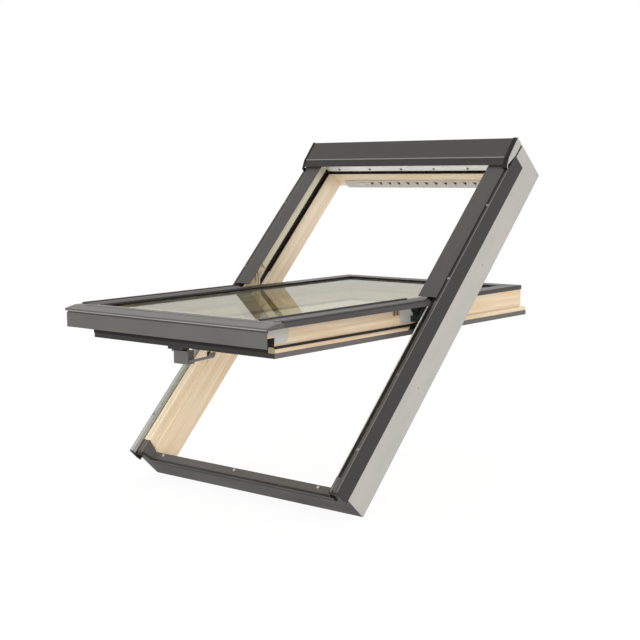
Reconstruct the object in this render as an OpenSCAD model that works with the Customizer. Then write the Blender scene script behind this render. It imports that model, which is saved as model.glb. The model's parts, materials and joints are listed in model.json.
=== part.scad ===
// Centre-pivot roof window: a timber frame at the slope of a roof and a glazed sash that swings
// on two curved slides. Sizes run across the window (x), up the slope (u) and out of the roof (n).
// The window is drawn flat, with u along Y and n along Z, and is then turned to the slope.

/* [Window] */
// Overall width of the frame
frame_w = 780; // [660:10:1340]
// Overall length of the frame, up the slope
frame_h = 1180; // [980:10:1600]
// Depth of the frame, from its room face to its outer face
frame_d = 131; // [128:0.5:140]
// Slope of the roof
roof_pitch = 47; // [15:0.5:75]
// How far the sash is swung open
open_angle = 45.8; // [10:0.1:130]

/* [Frame timber] */
// Width of a stile, with its outer skin
stile_w = 43; // [40:0.5:60]
// Thickness of the head, up the slope
head_t = 45; // [40:0.5:60]
// Depth of the rebate's ledge below the outer face
rebate_n = 43; // [37:0.5:47]
// Depth of the rebate in the stiles
rebate_step = 5; // [3:0.5:8]
// Thickness of the sill's upright part
sill_t = 22; // [16:0.5:24]
// How far the sill's foot reaches up the slope
sill_foot_u = 42; // [36:0.5:44]
// Height of the sill's foot
sill_foot_h = 36; // [30:0.5:38]
// Depth of the sill's outer face below that of the stiles
sill_n = 46; // [44:0.5:53]
// Chamfer on the room side of the timber
timber_chamfer = 3; // [1:0.5:5]

/* [Frame metalwork] */
// Thickness of the folded cover sheet
sheet_t = 1.5; // [1:0.1:2]
// Thickness of the side plates and of the outer flanges
skin_t = 2; // [1.5:0.1:3]
// Height of the light side plates
plate_h = 80; // [70:0.5:90]
// Width of the strip along the outer edge of the frame
strip_w = 11; // [9:0.5:14]
// Depth of the channel inside that strip
channel_d = 15; // [14:0.5:18]
// Height of the bright hem beside the channel
hem_h = 3; // [2:0.5:5]
// How far the covers hang below the lower end of the frame
cover_drop = 10; // [5:0.5:14]
// Height of the covers' outer flange under the hood
hood_flange_h = 6; // [4:0.5:10]
// Height and reach of the drip edge of the sill cover
drip = 6; // [3:0.5:8]
// Level of the upper side covers above the outer face of the frame
upper_cover_rise = 4; // [3:0.5:6]
// Width of the upper side covers
upper_cover_w = 59; // [56:0.5:66]
// Height of the hood above the outer face of the frame
hood_rise = 25; // [20:0.5:35]
// Length of the hood, up the slope
hood_l = 92; // [84:0.5:110]
// Length of the hood's front slope
hood_nose_l = 22; // [16:0.5:30]
// Length of the rebate strips and seals from the head, as a stop above the hinges
hinge_clear = 22; // [12:0.5:40]

/* [Sash] */
// Gap between the sash and the frame at each side
side_gap = 13; // [12.5:0.1:16]
// Gap between the sash and the sill
sill_gap = 10; // [9:0.5:14]
// Gap between the sash and the head
head_gap = 5; // [4:0.5:8]
// Width of the sash stiles
sash_stile_w = 48; // [42:0.5:60]
// Width of the sash's bottom rail
bottom_rail_w = 68; // [60:0.5:80]
// Width of the sash's top rail
top_rail_w = 74; // [66:0.5:90]
// Depth of the sash, from its covers to the lip
sash_d = 77; // [74:0.5:79]
// How far the top rail's upper part stands back from its lip
top_setback = 26; // [22:0.5:32]
// Height of the strip under that set-back
top_strip_h = 11; // [8:0.5:12]
// Height of the grey inner lip
lip_h = 13; // [10:0.5:14]
// Width of the grey inner lip
lip_w = 17; // [12:0.5:22]
// How far the lip stands out from the sash stiles
lip_proud = 1; // [0.5:0.1:1.2]
// Thickness of each pane
pane_t = 4; // [3:0.5:6]
// Gap between the panes
pane_gap = 16; // [12:0.5:18]
// Width of the seat that carries the glass
glass_seat = 14; // [12:0.5:18]
// Where the outer pane starts, above the lower end of the frame
pane_step = 16; // [10:0.5:24]
// How far the bottom cover laps over the start of the outer pane
clamp_lap = 8; // [6:0.5:14]
// Fall of the bottom cover's front slope
clamp_fall = 7.5; // [4:0.5:10]
// How far the fascia stands below the lower end of the frame
fascia_over = 33; // [30:0.5:44]
// Height of the fascia
fascia_h = 57; // [50:0.5:64]
// How far the wide lower covers stand out from the sash
cover_over = 41; // [38:0.5:42]
// Height of the turned-down edges of the sash covers
cover_edge_h = 12.5; // [10:0.5:12.5]

/* [Pivot] */
// Pivot axis above the middle of the frame, up the slope
axis_up = 18; // [10:0.5:30]
// Pivot axis above the outer face of the frame
axis_rise = 16; // [14:0.5:20]
// Radius of the middle of the hinge arcs
arc_r = 69; // [64:0.5:76]
// Width of the hinge arcs
arc_w = 6; // [4:0.5:8]
// Thickness of the hinge plates
hinge_plate_t = 3; // [2:0.1:3.2]
// Running clearance of the arcs in their channels
arc_clear = 0.5; // [0.3:0.05:0.8]

/* [Handle] */
// Axis of the handle, to the left of the middle of the sash
handle_off = 28; // [0:1:60]
// Length of the handle base
handle_base_l = 59; // [50:1:90]
// Reach of the lever from its axis
lever_l = 110; // [90:1:130]
// Width of the lever's hub
hub_w = 55; // [44:0.5:60]
// Reach of the latch tongue from the lever's axis
tongue_l = 41; // [38:0.5:44]
// Diameter of the spindle
spindle_d = 8; // [6:0.1:10]

/* [Vent] */
// Gap between the ventilation grille and the stiles
vent_end = 39; // [30:1:60]
// Plain length at each end of the grille, before its first hole
vent_plain = 110; // [90:1:140]
// Height of the ventilation grille
vent_h = 29; // [26:0.5:34]
// Spacing of its holes
vent_pitch = 36; // [30:0.5:42]

/* [Hidden] */
// Overrun of every cut
cut = 1;
// Overlap of shapes that make one solid
lap = 0.5;
// Gap between pieces of one body that lie side by side
seam = 0.3;
// Smoothness of round shapes
$fn = 64;

// Half the width of the frame, of its timber, of its clear opening and of its rebate
half_w = frame_w / 2;
timber_x = half_w - skin_t;
stile_x = half_w - stile_w;
rebate_x = stile_x + rebate_step;
wall_x = half_w - strip_w;
// Levels of the channel floor and of the timber below it
floor_n = frame_d - channel_d;
floor_under_n = floor_n - sheet_t;
// Levels of the rebate's ledge and of the sill's outer face
rebate_level = frame_d - rebate_n;
sill_level = frame_d - sill_n;
// Lengths of the frame timber, inside the sill cover and the hood
timber_u0 = skin_t;
timber_u1 = frame_h - skin_t;
head_u = frame_h - head_t;
// Origin: the middle of the sill's room face
origin_u = (timber_u0 + sill_foot_u - timber_chamfer) / 2;

// Pivot axis
axis_u = frame_h / 2 + axis_up;
axis_n = frame_d + axis_rise;
hinge_reach = arc_r + arc_w + hinge_plate_t;

// Sash: half width, inner edge, and its levels with the sash shut
sash_x = stile_x - side_gap;
sash_in_x = sash_x - sash_stile_w;
glass_x = sash_in_x + glass_seat;
sash_top_n = frame_d;
sash_timber_n = sash_top_n - sheet_t;
sash_room_n = sash_top_n - sash_d;
lip_n = sash_room_n - lip_h;
glass_edge_gap = 2;
pane_drop = 4;
pane_bed = 0.5;
outer_pane_n = sash_timber_n - pane_drop - pane_t;
inner_pane_n = outer_pane_n - pane_gap - pane_t;
// Sash: lengths up the slope, with the sash shut
lip_u0 = sill_t + sill_gap;
lip_u1 = head_u - head_gap;
sash_u1 = lip_u1 - top_setback;
strip_n = sash_room_n + top_strip_h;
nose_back = 11;
nose_u = -fascia_over + nose_back;
nose_seal_h = 4.5;
nose_gap = 0.5;
nose_n = sill_level + skin_t + nose_seal_h + nose_gap;
bottom_in_u = lip_u0 + bottom_rail_w;
top_in_u = lip_u1 - top_rail_w;
glass_u0 = bottom_in_u - glass_seat;
glass_u1 = top_in_u + glass_seat;
// Covers of the sash: inner edge over the glass, and where one ends and the next starts
cover_lap = 2;
cover_in_x = sash_in_x + cover_lap;
cover_u0 = pane_step + clamp_lap;
cover_u1 = top_in_u + cover_lap;
cover_mid_gap = 8;
cover_mid_u = axis_u - cover_mid_gap;
cover_out_x = sash_x + cover_over;

// Hinge: side levels of the sash plate, the arc, the channel walls and the frame plate
arc_top_drop = 4;
arc_top_n = frame_d - arc_top_drop;
frame_plate_t = 2.5;
arc_tip_gap = 0.7;
wall_gap = 1;
arc_x0 = sash_x + hinge_plate_t;
arc_x1 = stile_x - frame_plate_t - arc_tip_gap;
channel_x0 = arc_x0 + wall_gap;
channel_wall_w = 4.5;

// Seals of the frame: level, height and reach
seal_h = 15;
seal_n = rebate_level - seal_h;
seal_base = 4;
seal_fin_h = 3;
seal_side_gap = 2.5;
head_seal_n = strip_n + nose_gap;
head_seal_h = 7;
head_seal_reach = 8;
upper_u0 = axis_u + hinge_reach + hinge_clear;

// Vent: length and number of holes, shell, slider and hole sizes
vent_l = 2 * (stile_x - vent_end);
vent_holes = round((vent_l - 2 * vent_plain) / vent_pitch) + 1;
vent_depth = 5;
vent_wall = 1.5;
slider_gap = 0.5;
vent_hole_w = 13;
vent_hole_h = 11;
vent_hole_share = 0.62;
vent_hole_n = vent_hole_share * vent_h;
vent_travel = vent_pitch / 2;
tab_w = 24;
tab_h = 8;
tab_reach = 3;
tab_gap = 3.5;
tab_x = -(vent_holes - 1) / 2 * vent_pitch - vent_hole_w / 2 - tab_gap - vent_travel - tab_w;

// Latch: tongue, and the pocket for it in the sill's foot, with the sash shut
tongue_w = 10;
tongue_t = 5;
pocket_x = 52;
pocket_h = 15;
pocket_top = 4.5;
pocket_deep = 14;
keeper_t = 1.5;
tongue_n = sill_foot_h - pocket_top - pocket_h / 2;
// Handle: place on the bottom rail, and its levels with the sash shut. The collar fills what is left
// between the base and the hub, whose tongue lies at the level of the pocket.
handle_in = 43;
handle_u = lip_u0 + handle_in;
handle_x = -handle_off;
handle_gap = 0.5;
hub_h = 34;
hub_d = 30;
hub_round = 8;
hub_n1 = tongue_n + tongue_t / 2;
hub_n0 = hub_n1 - hub_h;
handle_base_w = 26;
handle_base_t = 26;
handle_base_n = sash_room_n - handle_base_t;
base_shift = 20;
collar_d = 19;
collar_n = hub_n1 + handle_gap;
collar_h = handle_base_n - collar_n;
lever_w = 15;
lever_t = 7;
lever_rise = 20;
hook_r = 17;
spindle_clear = 0.05;
spindle_in = 12;

// Screws: head, height of the head, shank and its hole
screw_head_d = 8;
screw_head_h = 1.6;
screw_shank_d = 4;
screw_shank_l = 16;
screw_clear = 0.2;
// Places of the screws, as shares of the lengths that they lie on
sill_screw_shares = [-0.87, -0.05, 0.82];
sill_screw_across = 0.7;
cover_screw_shares = [0.1, 0.3, 0.575, 0.8];
strip_screw_shares = [-0.86, -0.5, -0.14, 0.22, 0.58, 0.9];
strip_screw_across = 0.2;
bracket_hole_shares = [0.32, 0.68];
bracket_hole_d = 5;
bracket_hole_l = 28;
bracket_hole_n = plate_h / 2;

timber = "#E3CDB0";
dark_metal = "#55524F";
light_metal = "#BFBDB8";
rubber = "#241D18";
grey_lip = "#7A8088";

// Turns the flat window to the slope of the roof, about the middle of the sill's room face.
module in_roof() {
    rotate([roof_pitch, 0, 0]) translate([0, -origin_u, 0]) children();
}

// Turns a piece of the shut sash about the pivot axis to where the sash stands open.
module in_sash() {
    in_roof()
        translate([0, axis_u, axis_n]) rotate([-open_angle, 0, 0]) translate([0, -axis_u, -axis_n])
            children();
}

// Mirrors a right-hand piece to the left side where side is -1.
module on_side(side) {
    mirror([side < 0 ? 1 : 0, 0, 0]) children();
}

// Carries a profile in x and n up the slope, from u0 to u1.
module along_u(u0, u1) {
    translate([0, u1, 0]) rotate([90, 0, 0]) linear_extrude(u1 - u0) children();
}

// Carries a profile in u and n across the window, from x0 to x1.
module along_x(x0, x1) {
    translate([x0, 0, 0]) rotate([90, 0, 90]) linear_extrude(x1 - x0) children();
}

// A block between two corners.
module block(low, high) {
    translate(low) cube(high - low);
}

// A flat bar between two corners, drawn as a profile.
module bar(low, high) {
    translate(low) square(high - low);
}

// A screw with a round head that sits on z = 0, and its shank below.
module screw() {
    cylinder(d = screw_head_d, h = screw_head_h);
    translate([0, 0, -screw_shank_l]) cylinder(d = screw_shank_d, h = screw_shank_l + lap);
}

// The hole that a screw's shank goes into.
module screw_hole() {
    translate([0, 0, -screw_shank_l - cut])
        cylinder(d = screw_shank_d + screw_clear, h = screw_shank_l + cut + cut);
}

// Places of the screws in the sill cover, the stile covers and the head's strip.
module at_sill_screws() {
    for (share = sill_screw_shares)
        translate([share * stile_x, sill_screw_across * sill_t, sill_level + skin_t]) children();
}

module at_cover_screws(side) {
    for (share = cover_screw_shares)
        translate([side * (half_w - strip_w / 2), share * frame_h, frame_d]) children();
}

module at_strip_screws() {
    for (share = strip_screw_shares)
        translate([share * stile_x, head_u - skin_t, strip_screw_n]) rotate([90, 0, 0]) children();
}

// Levels of the pale strip on the head.
head_strip_n0 = head_seal_n + head_seal_h + seam;
head_strip_n1 = floor_under_n;
strip_screw_n = head_strip_n0 + strip_screw_across * (head_strip_n1 - head_strip_n0);

// Bores for roof brackets, in from the outer side of a stile.
module bracket_bores(side) {
    for (share = bracket_hole_shares)
        translate([side * half_w, share * frame_h, bracket_hole_n]) rotate([0, -90 * side, 0])
            translate([0, 0, -cut]) cylinder(d = bracket_hole_d, h = bracket_hole_l + cut);
}

// Frame stile: chamfered on the room side, rebated, with a channel ledge on the outer side.
module stile_profile() {
    polygon([
        [stile_x + timber_chamfer, 0], [timber_x, 0], [timber_x, frame_d - sheet_t],
        [wall_x + sheet_t, frame_d - sheet_t], [wall_x + sheet_t, floor_under_n],
        [rebate_x, floor_under_n], [rebate_x, rebate_level], [stile_x, rebate_level], [stile_x, timber_chamfer]
    ]);
}

module frame_stile(side) {
    color(timber) in_roof() difference() {
        on_side(side) along_u(timber_u0, timber_u1) stile_profile();
        bracket_bores(side);
        at_cover_screws(side) screw_hole();
    }
}

module frame_left_stile() { frame_stile(-1); }
module frame_right_stile() { frame_stile(1); }

// Head of the frame: a deep rail with a routed air duct behind the vent's holes.
module frame_top_rail() {
    duct_x = vent_pitch * vent_holes / 2;
    color(timber) in_roof() difference() {
        along_x(-stile_x, stile_x) polygon([
            [head_u + timber_chamfer, 0], [timber_u1, 0], [timber_u1, floor_under_n],
            [head_u, floor_under_n], [head_u, timber_chamfer]
        ]);
        block([-duct_x, head_u - cut, vent_hole_n - vent_hole_h / 2],
              [duct_x, head_u + head_t / 2, vent_hole_n + vent_hole_h / 2]);
        at_strip_screws() screw_hole();
    }
}

// Sill of the frame: an upright that the sash closes over, on a foot that holds the latch pocket.
module frame_sill() {
    color(timber) in_roof() difference() {
        along_x(-stile_x, stile_x) polygon([
            [timber_u0, 0], [sill_foot_u - timber_chamfer, 0], [sill_foot_u, timber_chamfer],
            [sill_foot_u, sill_foot_h - timber_chamfer], [sill_foot_u - timber_chamfer, sill_foot_h],
            [sill_t, sill_foot_h], [sill_t, sill_level], [timber_u0, sill_level]
        ]);
        block([handle_x - pocket_x, sill_foot_u - pocket_deep, tongue_n - pocket_h / 2],
              [handle_x + pocket_x / 2, sill_foot_u + cut, tongue_n + pocket_h / 2]);
        at_sill_screws() screw_hole();
    }
}

// Plate with the slot that the latch tongue turns into.
module keeper_plate() {
    rim = pocket_h / 3;
    color(light_metal) in_roof() difference() {
        block([handle_x - pocket_x - rim, sill_foot_u, timber_chamfer],
              [handle_x + pocket_x / 2 + rim, sill_foot_u + keeper_t, sill_foot_h - timber_chamfer]);
        block([handle_x - pocket_x, sill_foot_u - cut, tongue_n - pocket_h / 2],
              [handle_x + pocket_x / 2, sill_foot_u + keeper_t + cut, tongue_n + pocket_h / 2]);
    }
}

// Light plate on the outer side of a stile, higher where the dark cover's flange ends at the head.
plate_top_n = frame_d - hood_flange_h;

module side_plate(side) {
    color(light_metal) in_roof() difference() {
        on_side(side) along_x(timber_x, half_w) polygon([
            [0, 0], [frame_h, 0], [frame_h, plate_top_n - seam], [head_u + seam, plate_top_n - seam],
            [head_u + seam, plate_h - seam], [0, plate_h - seam]
        ]);
        bracket_bores(side);
    }
}

module left_side_plate() { side_plate(-1); }
module right_side_plate() { side_plate(1); }

// Dark cover of a stile, folded from one sheet: outer flange, strip, channel and inner hem. Under the
// hood its flange is low, and at the sill its hem makes room for the corner piece.
module cover_profile() {
    polygon([
        [half_w, plate_h], [half_w, frame_d], [wall_x, frame_d], [wall_x, floor_n],
        [rebate_x + sheet_t, floor_n], [rebate_x + sheet_t, floor_n + hem_h],
        [rebate_x, floor_n + hem_h], [rebate_x, floor_under_n], [wall_x + sheet_t, floor_under_n],
        [wall_x + sheet_t, frame_d - sheet_t], [timber_x, frame_d - sheet_t], [timber_x, plate_h]
    ]);
}

module frame_cover(side) {
    color(dark_metal) in_roof() difference() {
        on_side(side) difference() {
            along_u(-cover_drop, timber_u1 - seam) cover_profile();
            block([timber_x - cut, head_u, plate_h - cut], [half_w + cut, frame_h, plate_top_n]);
            block([rebate_x - cut, -cover_drop - cut, floor_n],
                  [rebate_x + sheet_t + cut, corner_l + seam, floor_n + hem_h + cut]);
        }
        at_cover_screws(side) screw_hole();
    }
}

module left_frame_cover() { frame_cover(-1); }
module right_frame_cover() { frame_cover(1); }

module cover_screws() {
    color(light_metal) in_roof() for (side = [-1, 1]) at_cover_screws(side) screw();
}

// Rubber gasket on the floor of the channel, beside its wall, along the lower half.
gasket_h = 1.8;
channel_gasket_w = 8;

module channel_gasket(side) {
    color(rubber) in_roof() on_side(side) along_u(corner_l + seam, axis_u - cover_mid_gap)
        bar([wall_x - channel_gasket_w, floor_n], [wall_x, floor_n + gasket_h]);
}

module left_channel_gasket() { channel_gasket(-1); }
module right_channel_gasket() { channel_gasket(1); }

// Sill cover: front face over the lower end of the frame, and a strip with a drip edge over the sill.
module sill_front_outline() {
    for (side = [0, 1])
        mirror([side, 0]) polygon([
            [-lap, 0], [timber_x, 0], [timber_x, plate_h], [timber_x - seam, plate_h],
            [timber_x - seam, frame_d - sheet_t - seam], [wall_x + sheet_t + seam, frame_d - sheet_t - seam],
            [wall_x + sheet_t + seam, floor_under_n - seam], [rebate_x, floor_under_n - seam],
            [rebate_x, rebate_level], [stile_x, rebate_level], [stile_x, sill_level], [-lap, sill_level]
        ]);
}

module sill_cover() {
    color(dark_metal) in_roof() difference() {
        union() {
            along_u(0, skin_t) sill_front_outline();
            along_x(-stile_x, stile_x) polygon([
                [0, sill_level - skin_t], [skin_t, sill_level - skin_t], [skin_t, sill_level],
                [sill_t, sill_level], [sill_t, sill_level + skin_t], [-drip, sill_level + skin_t],
                [-drip, sill_level - drip], [sheet_t - drip, sill_level - drip], [sheet_t - drip, sill_level],
                [0, sill_level]
            ]);
        }
        at_sill_screws() screw_hole();
    }
}

module sill_screws() {
    color(light_metal) in_roof() at_sill_screws() screw();
}

// Corner piece of the sill: a bent sheet from the end of a stile's channel down to the sill cover.
corner_l = 39;
corner_in = 9;

module sill_corner(side) {
    foot_x = stile_x - corner_in;
    sill_top_n = sill_level + skin_t;
    color(dark_metal) in_roof() on_side(side) intersection() {
        along_u(-drip, corner_l) polygon([
            [wall_x, floor_n], [wall_x, floor_n + sheet_t], [rebate_x, floor_n + sheet_t],
            [foot_x, sill_top_n], [foot_x + sheet_t, sill_top_n], [rebate_x, floor_n]
        ]);
        translate([0, 0, sill_level]) linear_extrude(frame_d - sill_level) polygon([
            [foot_x - cut, -drip], [wall_x + cut, -drip], [wall_x + cut, corner_l], [rebate_x, corner_l],
            [foot_x - cut, sill_t]
        ]);
    }
}

module left_sill_corner() { sill_corner(-1); }
module right_sill_corner() { sill_corner(1); }

// Upper side cover: a folded sheet that laps over the sash, with a leg that stands in the channel.
upper_cover_n = frame_d + upper_cover_rise;
upper_cover_x = wall_x - sheet_t / 2;
upper_fold_share = 0.72;
upper_cover_gap = 2;

module upper_cover(side) {
    fold_x = upper_cover_x - upper_cover_w * (1 - upper_fold_share);
    color(dark_metal) in_roof() on_side(side) along_u(axis_u + upper_cover_gap, head_u - head_gap) polygon([
        [upper_cover_x - upper_cover_w, upper_cover_n], [fold_x, upper_cover_n],
        [upper_cover_x, upper_cover_n - sheet_t], [upper_cover_x, floor_n],
        [upper_cover_x - sheet_t, floor_n], [upper_cover_x - sheet_t, upper_cover_n - sheet_t - sheet_t],
        [fold_x, upper_cover_n - sheet_t], [upper_cover_x - upper_cover_w, upper_cover_n - sheet_t]
    ]);
}

module left_upper_cover() { upper_cover(-1); }
module right_upper_cover() { upper_cover(1); }

// Hood over the head: back flange, top and sloping nose, folded from one sheet.
hood_n = frame_d + hood_rise;
hood_u0 = frame_h - hood_l;
hood_fold_u = hood_u0 + hood_nose_l;
hood_fall = 6;
hood_back_h = 50;
hood_lift = 6.5;
hood_front_n = upper_cover_n + hood_lift;
hood_fold_n = hood_n - hood_fall;

module top_hood() {
    color(dark_metal) in_roof() along_x(-timber_x + seam, timber_x - seam) polygon([
        [frame_h, frame_d - hood_back_h], [frame_h, hood_n], [hood_fold_u, hood_fold_n],
        [hood_u0, hood_front_n], [hood_u0 + sheet_t + sheet_t, hood_front_n],
        [hood_fold_u + sheet_t, hood_fold_n - sheet_t - sheet_t],
        [timber_u1, hood_n - sheet_t - sheet_t], [timber_u1, frame_d - hood_back_h]
    ]);
}

// End plate of the hood, over the end of the stile's cover.
module hood_end(side) {
    color(light_metal) in_roof() on_side(side) along_x(timber_x, half_w) polygon([
        [hood_u0, hood_front_n], [head_u, frame_d + seam], [frame_h, frame_d + seam],
        [frame_h, hood_n], [hood_fold_u, hood_fold_n]
    ]);
}

module left_hood_end() { hood_end(-1); }
module right_hood_end() { hood_end(1); }

// Pale strip on the head, above its seal.
module head_strip() {
    color(light_metal) in_roof() difference() {
        block([-stile_x + seam, head_u - skin_t, head_strip_n0], [stile_x - seam, head_u, head_strip_n1]);
        at_strip_screws() screw_hole();
    }
}

module strip_screws() {
    color(light_metal) in_roof() at_strip_screws() screw();
}

// Pale strip that fills the rebate of a stile along the upper half.
module rebate_strip(side) {
    color(light_metal) in_roof() on_side(side) along_u(upper_u0, head_u - skin_t - seam)
        bar([stile_x, rebate_level], [rebate_x, floor_under_n]);
}

module left_rebate_strip() { rebate_strip(-1); }
module right_rebate_strip() { rebate_strip(1); }

// Rubber seals along the upper half: a base on the timber and a fin towards the sash.
module frame_seal(side) {
    base_x = stile_x - seal_base;
    fin_n = seal_n + seal_fin_h;
    color(rubber) in_roof() on_side(side) along_u(upper_u0, head_u - head_seal_reach - seam) polygon([
        [stile_x, seal_n], [stile_x, seal_n + seal_h], [base_x, seal_n + seal_h], [base_x, fin_n + seal_fin_h],
        [sash_x + seal_side_gap, fin_n + seal_fin_h], [sash_x + seal_side_gap, fin_n], [base_x, fin_n],
        [base_x, seal_n]
    ]);
}

module left_frame_seal() { frame_seal(-1); }
module right_frame_seal() { frame_seal(1); }

module head_seal() {
    color(rubber) in_roof() along_x(-stile_x, stile_x) polygon([
        [head_u, head_seal_n], [head_u, head_seal_n + head_seal_h],
        [head_u - seal_base, head_seal_n + head_seal_h], [head_u - seal_base, head_seal_n + seal_fin_h],
        [head_u - head_seal_reach, head_seal_n + seal_fin_h],
        [head_u - head_seal_reach, head_seal_n]
    ]);
}

// Ventilation grille: a shallow shell with a row of triangular holes and a slot for the slider's tab.
module vent_hole_row() {
    for (i = [0 : vent_holes - 1])
        translate([(i - (vent_holes - 1) / 2) * vent_pitch, vent_hole_n]) polygon([
            [-vent_hole_w / 2, vent_hole_h / 2], [0, -vent_hole_h / 2], [vent_hole_w / 2, vent_hole_h / 2]
        ]);
}

module vent_grille() {
    color(light_metal) in_roof() difference() {
        block([-vent_l / 2, head_u - vent_depth, 0], [vent_l / 2, head_u, vent_h]);
        block([-vent_l / 2 + vent_wall, head_u - vent_depth + vent_wall, vent_wall],
              [vent_l / 2 - vent_wall, head_u + cut, vent_h - vent_wall]);
        along_u(head_u - vent_depth - cut, head_u) vent_hole_row();
        block([tab_x - slider_gap, head_u - vent_depth - cut, vent_hole_n - tab_h / 2 - slider_gap],
              [tab_x + tab_w + vent_travel + slider_gap, head_u, vent_hole_n + tab_h / 2 + slider_gap]);
    }
}

// Slider behind the grille: its holes match the grille's, and half a pitch along it shuts them.
module vent_slider() {
    slide_u0 = head_u - vent_depth + vent_wall + slider_gap;
    slide_u1 = head_u - slider_gap;
    end_gap = vent_wall + slider_gap;
    color(light_metal) in_roof() {
        difference() {
            block([-vent_l / 2 + end_gap, slide_u0, end_gap],
                  [vent_l / 2 - end_gap - vent_travel, slide_u1, vent_h - end_gap]);
            along_u(slide_u0 - cut, slide_u1 + cut) vent_hole_row();
        }
        block([tab_x, head_u - vent_depth - tab_reach, vent_hole_n - tab_h / 2],
              [tab_x + tab_w, slide_u0 + lap, vent_hole_n + tab_h / 2]);
    }
}

// A band of a ring about the pivot axis, drawn in u and n, kept below a level.
module axis_band(r_in, r_out, top_n) {
    intersection() {
        translate([axis_u, axis_n]) difference() {
            circle(r = r_out);
            if (r_in > 0) circle(r = r_in);
        }
        bar([axis_u - r_out, axis_n - r_out], [axis_u + r_out, top_n]);
    }
}

// Curved channel on the stile: a plate with a long foot, a pad that fills the rebate behind it, and
// two arc walls.
arc_r_in = arc_r - arc_w / 2;
arc_r_out = arc_r + arc_w / 2;
channel_foot_l = 200;
channel_foot_h = 24;
channel_foot_r = 10;
channel_foot_shift = 12;

module hinge_channel(side) {
    wall_in = arc_r_in - arc_clear;
    wall_out = arc_r_out + arc_clear;
    plate_x = stile_x - frame_plate_t;
    color("#8C9490") in_roof() on_side(side) {
        along_x(plate_x, stile_x) {
            axis_band(0, wall_out + channel_wall_w, arc_top_n);
            translate([axis_u - channel_foot_shift, rebate_level - channel_foot_h / 6])
                round_bar(channel_foot_l, channel_foot_h, channel_foot_r);
        }
        along_x(stile_x - lap, rebate_x) intersection() {
            axis_band(0, wall_out + channel_wall_w, floor_under_n);
            bar([axis_u - hinge_reach, rebate_level], [axis_u + hinge_reach, floor_under_n]);
        }
        along_x(channel_x0, plate_x + lap) {
            axis_band(wall_out, wall_out + channel_wall_w, arc_top_n);
            axis_band(wall_in - channel_wall_w, wall_in, arc_top_n);
        }
    }
}

module left_hinge_channel() { hinge_channel(-1); }
module right_hinge_channel() { hinge_channel(1); }

// Plate on the side of the sash, with the arc that runs in the stile's channel.
hinge_foot_l = 168;
hinge_foot_r = 8;
hinge_foot_shift = 8;

module hinge_arc(side) {
    foot_n0 = corner_n0;
    foot_n1 = sash_top_n - cover_edge_h - seam;
    color("#A9ACA8") in_sash() on_side(side) {
        along_x(sash_x, arc_x0) {
            axis_band(0, arc_r_out + channel_wall_w, arc_top_n);
            translate([axis_u - hinge_foot_shift, (foot_n0 + foot_n1) / 2])
                round_bar(hinge_foot_l, foot_n1 - foot_n0, hinge_foot_r);
        }
        along_x(arc_x0 - lap, arc_x1) axis_band(arc_r_in, arc_r_out, arc_top_n);
    }
}

module left_hinge_arc() { hinge_arc(-1); }
module right_hinge_arc() { hinge_arc(1); }

// Sash stile: a glass seat on the inner edge and a seal groove along the outer side.
groove_n = strip_n;
groove_h = 6;
groove_d = 4;

// Level of the timber under the bottom cover's front slope, below the lower end of the frame.
function slope_n(u) = sash_timber_n + clamp_fall * u / fascia_over;

module sash_stile_profile() {
    polygon([
        [sash_in_x + timber_chamfer, sash_room_n], [sash_x, sash_room_n], [sash_x, groove_n],
        [sash_x - groove_d, groove_n], [sash_x - groove_d, groove_n + groove_h], [sash_x, groove_n + groove_h],
        [sash_x, sash_timber_n], [glass_x, sash_timber_n], [glass_x, inner_pane_n], [sash_in_x, inner_pane_n],
        [sash_in_x, sash_room_n + timber_chamfer]
    ]);
}

module sash_stile(side) {
    color(timber) in_sash() on_side(side) difference() {
        along_u(nose_u, lip_u1) sash_stile_profile();
        block([sash_in_x - cut, nose_u - cut, sash_room_n - cut], [sash_x + cut, lip_u0, nose_n]);
        block([sash_in_x - cut, sash_u1, strip_n], [sash_x + cut, lip_u1 + cut, sash_top_n]);
        along_x(sash_in_x - cut, sash_x + cut) polygon([
            [0, sash_timber_n], [0, sash_top_n], [nose_u - cut, sash_top_n], [nose_u - cut, slope_n(nose_u - cut)]
        ]);
    }
}

module sash_left_stile() { sash_stile(-1); }
module sash_right_stile() { sash_stile(1); }

// Top rail of the sash: its strip reaches under the head's seal.
module sash_top_rail() {
    color(timber) in_sash() along_x(-sash_in_x, sash_in_x) polygon([
        [top_in_u, sash_room_n + timber_chamfer], [top_in_u + timber_chamfer, sash_room_n],
        [lip_u1, sash_room_n], [lip_u1, strip_n], [sash_u1, strip_n], [sash_u1, sash_timber_n],
        [glass_u1, sash_timber_n], [glass_u1, inner_pane_n], [top_in_u, inner_pane_n]
    ]);
}

// Bottom rail of the sash: its nose closes over the sill, and the outer pane runs on over its top.
module sash_bottom_rail() {
    color(timber) in_sash() difference() {
        along_x(-sash_in_x, sash_in_x) polygon([
            [lip_u0, sash_room_n], [bottom_in_u - timber_chamfer, sash_room_n],
            [bottom_in_u, sash_room_n + timber_chamfer], [bottom_in_u, inner_pane_n], [glass_u0, inner_pane_n],
            [glass_u0, outer_pane_n - pane_bed], [pane_step, outer_pane_n - pane_bed], [pane_step, sash_timber_n],
            [0, sash_timber_n], [nose_u, slope_n(nose_u)], [nose_u, nose_n], [lip_u0, nose_n]
        ]);
        translate([handle_x, handle_u, sash_room_n - cut])
            cylinder(d = spindle_d + screw_clear, h = spindle_in + cut);
    }
}

// Double glazing: the outer pane is longer at its lower end. The spacer bar lies between the panes and
// the gasket under the covers.
module pane(u0, n0) {
    block([glass_edge_gap - glass_x, u0 + glass_edge_gap, n0],
          [glass_x - glass_edge_gap, glass_u1 - glass_edge_gap, n0 + pane_t]);
}

module outer_pane() {
    color("#CFE0DA", 0.35) in_sash() pane(pane_step, outer_pane_n);
}

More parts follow.
